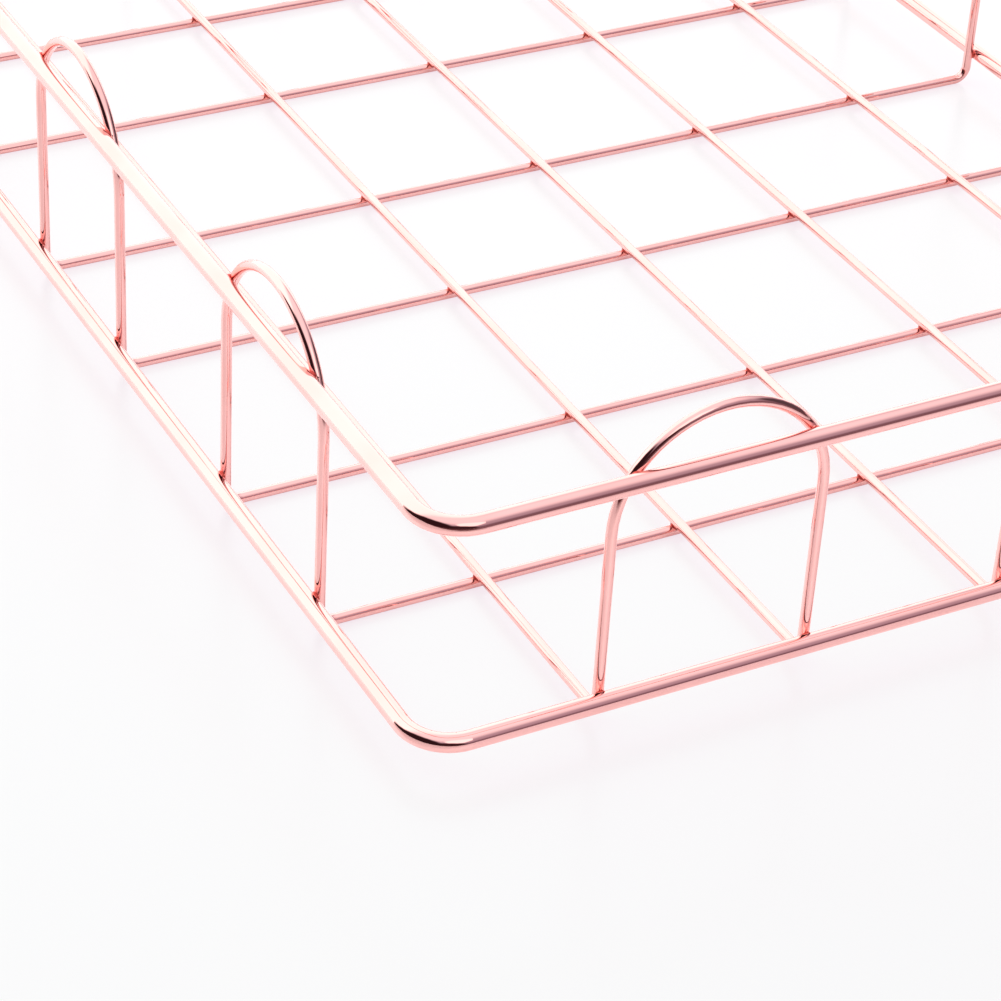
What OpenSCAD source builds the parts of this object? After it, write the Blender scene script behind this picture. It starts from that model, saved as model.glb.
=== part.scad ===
// Stacking letter tray of welded round wire, in millimetres.
// X runs across the tray, Y along it and Z up. The origin is at the middle of the footprint,
// on the surface that the lowest floor wires stand on.
// Front is the short side at -Y, left is the long side at -X.

/* [Tray] */
// Length over the outside of the rings
tray_length = 348; // [340:1:380]
// Width over the outside of the rings
tray_width = 256; // [248:1:290]
// Height of the base ring's centre line above the table
base_height = 7.5; // [7.5:0.5:12]
// Height of the rim's centre line above the table
rim_height = 55; // [40:1:90]
// Corner radius of both rings, at the centre line of the wire
corner_radius = 9; // [6:0.5:20]

/* [Wire] */
// Diameter of the wire in the base ring and the rim
ring_wire = 3.8; // [3.4:0.1:4.6]
// Diameter of the wire in the floor, the uprights and the arches
grid_wire = 2.2; // [2:0.1:2.4]
// Centre-line radius where a floor wire turns up into an upright
bend_radius = 3.3; // [2.8:0.1:3.4]
// How far two wires sink into each other where they are welded
set_down = 0.12; // [0.08:0.02:0.16]
// Reach of the weld metal around the middle of a contact
weld_radius = 1.15; // [1.1:0.05:1.2]

/* [Floor and arches] */
// Distance between the two legs of a stacking arch, and between neighbouring long wires
arch_span = 44.5; // [40:0.5:46]
// Clear run between one cross loop's cross wire and the next loop's, centre to centre
cross_loop_gap = 55; // [48:0.5:58]
// Height of the rim's centre line above the start of an arch's half circle
arch_drop = 12.2; // [6:0.1:14]
// How far the centre wire's ends stand above the rim's centre line
wire_end_rise = 1.2; // [1:0.1:1.5]

/* [Hidden] */
$fn = 64;
plating = [0.91, 0.66, 0.61];
weld_metal = [0.80, 0.50, 0.45];

ring_r = ring_wire / 2;
grid_r = grid_wire / 2;
sides = [-1, 1];

// Centre lines of the rings' straight bars
ring_x = tray_width / 2 - ring_r;
ring_y = tray_length / 2 - ring_r;

// The uprights stand inside the rings, sunk into them by the weld
leg_inset = ring_r + grid_r - set_down;
leg_x = ring_x - leg_inset;
leg_y = ring_y - leg_inset;

// Middle of a weld, measured outward from the upright, and a length that clears its metal
weld_inset = grid_r - set_down / 2;
weld_span = 4 * weld_radius;

// The long wires lie across the cross wires
cross_z = grid_r;
long_z = cross_z + grid_wire - set_down;
floor_contact_z = (cross_z + long_z) / 2;

long_wire_x = [for (i = [-2:2]) i * arch_span];
cross_loop_y = [for (i = [-1:1]) i * (arch_span + cross_loop_gap)];
cross_wire_y = [for (y = cross_loop_y, s = sides) y + s * arch_span / 2];
long_loop_x = [for (s = sides) s * 1.5 * arch_span];

// Each arch is a half circle standing on its two legs
arch_radius = arch_span / 2;
arch_start_z = rim_height - arch_drop;

// Where an arch passes the rim it leans by this angle, and stands this far from its middle
rim_lean = asin(arch_drop / arch_radius);
rim_contact_offset = arch_radius * cos(rim_lean);

// Straight wire along X, centred on a point
module rod_x(at, length, radius) {
    translate(at) rotate([0, 90, 0]) cylinder(h = length, r = radius, center = true);
}

// Straight wire along Y, centred on a point
module rod_y(at, length, radius) {
    translate(at) rotate([90, 0, 0]) cylinder(h = length, r = radius, center = true);
}

// Upright wire between two heights
module rod_z(x, y, low, high, radius) {
    translate([x, y, low]) cylinder(h = high - low, r = radius);
}

// Wire bent in the XY plane about the origin, starting on the +X axis
module bent_wire(bend, turn, radius) {
    rotate_extrude(angle = turn) translate([bend, 0]) circle(r = radius);
}

// The straight bars of a ring: the two that run along the tray, then the two across it
module ring_bars_along(height) {
    for (s = sides) rod_y([s * ring_x, 0, height], 2 * (ring_y - corner_radius), ring_r);
}

module ring_bars_across(height) {
    for (s = sides) rod_x([0, s * ring_y, height], 2 * (ring_x - corner_radius), ring_r);
}

module ring(height) {
    ring_bars_along(height);
    ring_bars_across(height);
    for (corner = [0:3]) {
        x = (corner == 0 || corner == 3 ? 1 : -1) * (ring_x - corner_radius);
        y = (corner < 2 ? 1 : -1) * (ring_y - corner_radius);
        translate([x, y, height]) rotate(corner * 90) bent_wire(corner_radius, 90, ring_r);
    }
}

// Stacking arch in the YZ plane, from the top of one leg to the top of the other
module arch() {
    translate([0, 0, arch_start_z]) rotate([90, 0, 90]) bent_wire(arch_radius, 180, grid_r);
}

// One floor wire along X with its ends turned up into uprights
module u_wire(reach, run_z, top) {
    rod_x([0, 0, run_z], 2 * (reach - bend_radius), grid_r);
    for (s = [0, 1]) {
        mirror([s, 0, 0]) {
            translate([reach - bend_radius, 0, run_z + bend_radius]) rotate([90, 0, 0])
                rotate(-90) bent_wire(bend_radius, 90, grid_r);
            rod_z(reach, 0, run_z + bend_radius, top, grid_r);
        }
    }
}

// Two floor wires along X joined by an arch at each end, as one closed wire
module arch_loop(reach, run_z) {
    for (s = sides) translate([0, s * arch_span / 2, 0]) u_wire(reach, run_z, arch_start_z);
    for (s = sides) translate([s * reach, 0, 0]) arch();
}

// The long wires' own centre lines, used to seat them in the cross wires
module long_runs() {
    for (x = long_wire_x) rod_y([x, 0, long_z], 2 * (leg_y - bend_radius), grid_r);
}

// Cross loop, flattened where the rings and the long wires are welded to it
module cross_loop(y) {
    color(plating) difference() {
        translate([0, y, 0]) arch_loop(leg_x, cross_z);
        ring_bars_along(base_height);
        ring_bars_along(rim_height);
        long_runs();
    }
}

// Long loop, flattened where the rings are welded to it
module long_loop(x) {
    color(plating) difference() {
        translate([x, 0, 0]) rotate(90) arch_loop(leg_y, long_z);
        ring_bars_across(base_height);
        ring_bars_across(rim_height);
    }
}

module long_wire_center() {
    color(plating) difference() {
        rotate(90) u_wire(leg_y, long_z, rim_height + wire_end_rise);
        ring_bars_across(base_height);
        ring_bars_across(rim_height);
    }
}

module base_ring() {
    color(plating) ring(base_height);
}

module top_rim() {
    color(plating) ring(rim_height);
}

// Weld metal in the creases where a long wire lies on a cross wire
module crossing_weld() {
    difference() {
        translate([0, 0, floor_contact_z]) sphere(r = weld_radius);
        rod_x([0, 0, cross_z], weld_span, grid_r);
        rod_y([0, 0, long_z], weld_span, grid_r);
    }
}

// Weld metal between a wire that leans through the origin and a ring on its +X side
module ring_weld(lean) {
    difference() {
        translate([weld_inset, 0, 0]) rotate([lean, 0, 0]) sphere(r = weld_radius);
        rod_y([leg_inset, 0, 0], weld_span, ring_r);
        rotate([lean, 0, 0]) cylinder(h = weld_span, r = grid_r, center = true);
    }
}

module upright_weld(height) {
    translate([0, 0, height]) ring_weld(0);
}

// Weld metal where both flanks of an arch pass the rim on its +X side
module arch_welds() {
    for (s = sides) translate([0, s * rim_contact_offset, rim_height]) ring_weld(s * rim_lean);
}

// Turns a shape made for the +X side round to another side of the tray
module on_side(turn, reach, along) {
    rotate(turn) translate([reach, along, 0]) children();
}

module floor_welds(row) {
    color(weld_metal)
        for (x = long_wire_x) translate([x, cross_wire_y[row], 0]) crossing_weld();
}

// Base welds of the short side that the turn points at
module base_welds_across(turn) {
    color(weld_metal)
        for (x = long_wire_x) on_side(turn, leg_y, x) upright_weld(base_height);
}

// Base welds of the long side that the turn points at
module base_welds_along(turn) {
    color(weld_metal)
        for (y = cross_wire_y) on_side(turn, leg_x, y) upright_weld(base_height);
}

// Rim welds of a short side: its two arches and the centre wire's end
module rim_welds_across(turn) {
    color(weld_metal) {
        for (x = long_loop_x) on_side(turn, leg_y, x) arch_welds();
        on_side(turn, leg_y, 0) upright_weld(rim_height);
    }
}

// Rim welds of a long side: its three arches
module rim_welds_along(turn) {
    color(weld_metal)
        for (y = cross_loop_y) on_side(turn, leg_x, y) arch_welds();
}

base_ring();
top_rim();
cross_loop(cross_loop_y[0]);  // cross_loop_front
cross_loop(cross_loop_y[1]);  // cross_loop_middle
cross_loop(cross_loop_y[2]);  // cross_loop_back
long_loop(long_loop_x[0]);  // long_loop_left
long_loop(long_loop_x[1]);  // long_loop_right
long_wire_center();
floor_welds(0);  // floor_welds_1
floor_welds(1);  // floor_welds_2
floor_welds(2);  // floor_welds_3
floor_welds(3);  // floor_welds_4
floor_welds(4);  // floor_welds_5
floor_welds(5);  // floor_welds_6
base_welds_across(-90);  // base_welds_front
base_welds_across(90);  // base_welds_back
base_welds_along(180);  // base_welds_left
base_welds_along(0);  // base_welds_right
rim_welds_across(-90);  // rim_welds_front
rim_welds_across(90);  // rim_welds_back
rim_welds_along(180);  // rim_welds_left
rim_welds_along(0);  // rim_welds_right
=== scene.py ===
"""Looks for the stacking letter tray: plated wire, weld metal painted red for glints in the creases, a
white table with painted pink shadow and painted shade in front, and soft studio light.
"""
from math import radians

import bpy
from mathutils import Euler, Matrix, Vector


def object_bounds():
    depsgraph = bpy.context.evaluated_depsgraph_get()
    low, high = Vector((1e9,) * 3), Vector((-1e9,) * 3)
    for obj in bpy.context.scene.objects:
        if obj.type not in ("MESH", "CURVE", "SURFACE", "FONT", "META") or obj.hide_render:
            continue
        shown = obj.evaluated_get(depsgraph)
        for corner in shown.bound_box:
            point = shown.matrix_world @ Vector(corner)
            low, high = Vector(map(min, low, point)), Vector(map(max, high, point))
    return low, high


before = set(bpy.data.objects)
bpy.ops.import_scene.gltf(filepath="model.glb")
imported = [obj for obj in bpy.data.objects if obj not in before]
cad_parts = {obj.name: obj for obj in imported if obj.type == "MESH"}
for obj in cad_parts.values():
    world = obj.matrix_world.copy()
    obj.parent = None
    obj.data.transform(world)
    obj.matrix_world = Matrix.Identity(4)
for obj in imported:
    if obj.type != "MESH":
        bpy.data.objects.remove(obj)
cad_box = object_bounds()

scene = bpy.context.scene
scene.view_settings.view_transform = "Standard"

# Places of a Mix node's colour sockets
MIX_A = 6
MIX_B = 7
MIX_RESULT = 2

# Noise scales, in cells per metre
CLOUD_SCALE = 55.0
WAVE_SCALE = 130.0
PEEL_SCALE = 900.0
LINE_SCALE = 2600.0
TABLE_SCALE = 9.0

# Shares of the noise over which the two tones and the polish change
CLOUD_RANGE = (0.35, 0.65)
PEEL_RANGE = (0.3, 0.7)

# Drawn lines: their scale along the wire, and how sharply one direction takes over from another
LINE_STRETCH = 0.02
LINE_SOFTENING = 0.04
LINE_POWER = -3.0

# Table: half its side, and how far in front of the tray its mirror image fades from and to into painted
# shade, in metres
TABLE_HALF = 8.0
PAINTED_SHADE_START = 0.066
PAINTED_SHADE_END = 0.226

# Table colours: two tones of what the camera sees lit, greenish so that the tray's shadow on it shows
# painted pink light; the mirrored table near, and far in front as painted shade; and the glow, pink, which
# with the lit share sums to white
TABLE_SEEN_FOR_PAINTED_PINK_SHADOW = ((0.05, 0.18, 0.11, 1.0), (0.053, 0.19, 0.115, 1.0))
TABLE_NEAR = (0.77, 0.78, 0.76, 1.0)
TABLE_FAR_PAINTED_SHADE = (0.12, 0.03, 0.035, 1.0)
TABLE_GLOW_AND_PAINTED_PINK_SHADOW = (0.866, 0.731, 0.806, 1.0)
MIRRORED_GLOW = 0.30

# Table polish, with its specular level for the camera and for the wires that mirror it
TABLE_ROUGHNESS = 0.26
TABLE_IOR = 1.8
TABLE_SPECULAR = (0.1, 1.0)

# Room: its colours from the bottom up, and the heights between which each of the upper two comes in
ROOM_LOW = (0.19, 0.12, 0.155, 1.0)
ROOM_HIGH = (0.50, 0.43, 0.52, 1.0)
ROOM_RISE = (0.0, 0.4)
OVERHEAD = (1.20, 1.19, 1.25, 1.0)
OVERHEAD_RISE = (0.46, 0.93)

# Patches of the room, laid over it in this order: direction, cosines at the edge and at the core, colour
PATCHES = {
    "right back wall": ((0.72, 0.68, 0.20), 0.88, 0.97, (1.7, 1.7, 1.7, 1.0)),
    "left back wall": ((-0.33, 0.92, 0.16), 0.40, 0.64, (1.8, 1.8, 1.8, 1.0)),
    "front softbox": ((-0.02, -0.75, 0.66), 0.92, 0.965, (1.6, 1.6, 1.6, 1.0)),
    "dark right": ((0.93, -0.30, 0.22), 0.89, 0.96, (0.10, 0.075, 0.09, 1.0)),
    "dark low front": ((-0.35, -0.93, 0.0), 0.82, 0.90, (0.05, 0.02, 0.025, 1.0)),
    "dark left": ((-0.93, -0.25, 0.12), 0.68, 0.82, (0.03, 0.012, 0.015, 1.0)),
    "dark left back": ((-0.95, 0.28, 0.06), 0.88, 0.95, (0.03, 0.012, 0.015, 1.0)),
}

# Camera, as the photograph was taken: place in metres, turn in degrees, lens and sensor in millimetres
CAMERA_PLACE = (-0.34276, -0.576936, 0.377971)
CAMERA_TURN = (55.4962, -2.9418, -27.4848)
CAMERA_LENS = 118.46
CAMERA_SENSOR = 36.0
CAMERA_CLIP = 0.01


# Small helpers for node trees
class Tree:
    def __init__(self, owner):
        owner.use_nodes = True
        self.tree = owner.node_tree
        self.tree.nodes.clear()

    def add(self, kind, **settings):
        node = self.tree.nodes.new(kind)
        for key, value in settings.items():
            setattr(node, key, value)
        return node

    def put(self, target, value):
        """A link where the value is a socket, a constant where it is a number, colour or vector."""
        if isinstance(value, bpy.types.NodeSocket):
            self.tree.links.new(value, target)
        else:
            target.default_value = value

    def math(self, operation, a, b=0.0):
        node = self.add("ShaderNodeMath", operation=operation)
        self.put(node.inputs[0], a)
        self.put(node.inputs[1], b)
        return node.outputs[0]

    def vector(self, operation, a, b):
        node = self.add("ShaderNodeVectorMath", operation=operation)
        self.put(node.inputs[0], a)
        self.put(node.inputs[1], b)
        return node.outputs["Value" if operation == "DOT_PRODUCT" else "Vector"]

    def split(self, value):
        """The outputs X, Y and Z of a vector."""
        node = self.add("ShaderNodeSeparateXYZ")
        self.put(node.inputs[0], value)
        return node.outputs

    def span(self, value, low, high, to_low=0.0, to_high=1.0):
        """The value's place between low and high, carried over smoothly to another range."""
        node = self.add("ShaderNodeMapRange", interpolation_type="SMOOTHSTEP")
        self.put(node.inputs["Value"], value)
        self.put(node.inputs["From Min"], low)
        self.put(node.inputs["From Max"], high)
        self.put(node.inputs["To Min"], to_low)
        self.put(node.inputs["To Max"], to_high)
        return node.outputs["Result"]

    def mix(self, factor, a, b):
        node = self.add("ShaderNodeMix", data_type="RGBA")
        self.put(node.inputs[0], factor)
        self.put(node.inputs[MIX_A], a)
        self.put(node.inputs[MIX_B], b)
        return node.outputs[MIX_RESULT]

    def noise(self, place, scale, detail=2.0):
        node = self.add("ShaderNodeTexNoise")
        self.put(node.inputs["Vector"], place)
        self.put(node.inputs["Scale"], scale)
        self.put(node.inputs["Detail"], detail)
        return node.outputs["Fac"]

    def bump(self, height, distance, normal=None):
        """A normal bent by a height, where distance is the height's size in metres."""
        node = self.add("ShaderNodeBump")
        self.put(node.inputs["Height"], height)
        self.put(node.inputs["Distance"], distance)
        if normal:
            self.put(node.inputs["Normal"], normal)
        return node.outputs["Normal"]

    def end(self, kind, shader):
        """The output node, with what it shows."""
        self.put(self.add(kind).inputs["Surface"], shader)


def drawn_lines(tree, place):
    """Fine lines along the wire, which is the direction that its surface normal never points in."""
    normal = tree.split(tree.add("ShaderNodeNewGeometry").outputs["Normal"])
    total = 0.0
    weights = 0.0
    for number, axis in enumerate("XYZ"):
        stretch = [1.0, 1.0, 1.0]
        stretch[number] = LINE_STRETCH
        size = tree.math("ADD", tree.math("ABSOLUTE", normal[axis]), LINE_SOFTENING)
        weight = tree.math("POWER", size, LINE_POWER)
        line = tree.noise(tree.vector("MULTIPLY", place, stretch), LINE_SCALE, detail=1.0)
        total = tree.math("ADD", total, tree.math("MULTIPLY", line, weight))
        weights = tree.math("ADD", weights, weight)
    return tree.math("DIVIDE", total, weights)


def plating(name, metal, light, deep, smooth, rough, peel, lines, sag):
    """Bright plating on wire: two tones, an uneven polish, orange peel, drawn lines and slow waves."""
    material = bpy.data.materials.new(name)
    tree = Tree(material)
    place = tree.add("ShaderNodeTexCoord").outputs["Object"]
    cloud = tree.noise(place, CLOUD_SCALE, detail=3.0)
    fine = tree.noise(place, PEEL_SCALE)
    shader = tree.add("ShaderNodeBsdfPrincipled")
    shader.inputs["Metallic"].default_value = metal
    tree.put(shader.inputs["Base Color"], tree.mix(tree.span(cloud, *CLOUD_RANGE), light, deep))
    tree.put(shader.inputs["Roughness"], tree.span(fine, *PEEL_RANGE, smooth, rough))
    waves = tree.bump(tree.noise(place, WAVE_SCALE, detail=1.0), sag)
    skin = tree.bump(fine, peel, waves)
    tree.put(shader.inputs["Normal"], tree.bump(drawn_lines(tree, place), lines, skin))
    tree.end("ShaderNodeOutputMaterial", shader.outputs["BSDF"])
    return material


def table_top():
    """White table: for the camera mostly glow, pink over a greenish lit share so that the tray's shadow
    shows painted pink light, and for the wires that mirror it lit, with its shadows, fading to painted
    shade in front of the tray.
    """
    material = bpy.data.materials.new("table_white")
    tree = Tree(material)
    rays = tree.add("ShaderNodeLightPath").outputs
    place = tree.add("ShaderNodeTexCoord").outputs["Object"]
    tray_front = cad_box[0][1]
    # Painted shade: in front of the tray the table that the wires mirror fades to dark, and its glow with
    # it
    painted_shade_fade = tree.span(tree.split(place)["Y"], tray_front - PAINTED_SHADE_END, tray_front - PAINTED_SHADE_START)
    seen = tree.mix(tree.noise(place, TABLE_SCALE), *TABLE_SEEN_FOR_PAINTED_PINK_SHADOW)
    mirrored = tree.mix(painted_shade_fade, TABLE_FAR_PAINTED_SHADE, TABLE_NEAR)
    shader = tree.add("ShaderNodeBsdfPrincipled")
    tree.put(shader.inputs["Base Color"], tree.mix(rays["Is Glossy Ray"], seen, mirrored))
    shader.inputs["Roughness"].default_value = TABLE_ROUGHNESS
    shader.inputs["IOR"].default_value = TABLE_IOR
    polish = tree.span(rays["Is Glossy Ray"], 0.0, 1.0, *TABLE_SPECULAR)
    tree.put(shader.inputs["Specular IOR Level"], polish)
    weak = tree.math("MULTIPLY", rays["Is Glossy Ray"], tree.math("MULTIPLY", painted_shade_fade, MIRRORED_GLOW))
    full = tree.math("MAXIMUM", rays["Is Camera Ray"], rays["Is Transmission Ray"])
    # Pink glow: with the greenish lit share it makes the table white, and leaves painted pink light where
    # the tray shades it
    glow = tree.add("ShaderNodeEmission")
    glow.inputs["Color"].default_value = TABLE_GLOW_AND_PAINTED_PINK_SHADOW
    tree.put(glow.inputs["Strength"], tree.math("MAXIMUM", full, weak))
    both = tree.add("ShaderNodeAddShader")
    tree.put(both.inputs[0], shader.outputs["BSDF"])
    tree.put(both.inputs[1], glow.outputs["Emission"])
    tree.end("ShaderNodeOutputMaterial", both.outputs["Shader"])
    return material


def studio():
    """Soft light from the world alone: a room, a large softbox overhead, and patches of light and dark."""
    world = bpy.data.worlds.new("studio")
    scene.world = world
    tree = Tree(world)
    way = tree.add("ShaderNodeTexCoord").outputs["Generated"]
    height = tree.split(way)["Z"]
    room = tree.mix(tree.span(height, *ROOM_RISE), ROOM_LOW, ROOM_HIGH)
    room = tree.mix(tree.span(height, *OVERHEAD_RISE), room, OVERHEAD)
    for name, (direction, edge, core, colour) in PATCHES.items():
        toward = tree.vector("DOT_PRODUCT", way, Vector(direction).normalized())
        room = tree.mix(tree.span(toward, edge, core), room, colour)
        room.node.label = name
    background = tree.add("ShaderNodeBackground")
    tree.put(background.inputs["Color"], room)
    background.inputs["Strength"].default_value = 1.0
    tree.end("ShaderNodeOutputWorld", background.outputs["Background"])


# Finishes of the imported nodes, with heights of peel, lines and sag in metres
wire = plating(
    "plated_wire_finish",
    metal=1.0,
    light=(0.955, 0.545, 0.507, 1.0),
    deep=(0.93, 0.515, 0.475, 1.0),
    smooth=0.01,
    rough=0.035,
    peel=1.2e-6,
    lines=0.3e-6,
    sag=1.6e-5,
)
# Weld metal, its deep red a painted glint standing in for light bounced between the wires in the creases
weld_with_painted_glint = plating(
    "weld_metal_painted_red_glint",
    metal=0.45,
    light=(0.80, 0.12, 0.085, 1.0),
    deep=(0.62, 0.06, 0.045, 1.0),
    smooth=0.24,
    rough=0.42,
    peel=8e-6,
    lines=0.2e-6,
    sag=6e-6,
)
for name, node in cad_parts.items():
    for slot in node.material_slots:
        slot.material = weld_with_painted_glint if "welds" in name else wire

# Table, large enough to fill the picture from any side
corners = [(x * TABLE_HALF, y * TABLE_HALF, 0) for x, y in ((-1, -1), (1, -1), (1, 1), (-1, 1))]
table = bpy.data.meshes.new("table")
table.from_pydata(corners, [], [(0, 1, 2, 3)])
table.materials.append(table_top())
floor = bpy.data.objects.new("table", table)
scene.collection.objects.link(floor)

studio()

lens = bpy.data.cameras.new("camera")
lens.sensor_width = CAMERA_SENSOR
lens.lens = CAMERA_LENS
lens.clip_start = CAMERA_CLIP
camera = bpy.data.objects.new("camera", lens)
turn = Euler([radians(angle) for angle in CAMERA_TURN])
camera.matrix_world = Matrix.LocRotScale(Vector(CAMERA_PLACE), turn, None)
scene.collection.objects.link(camera)
scene.camera = camera
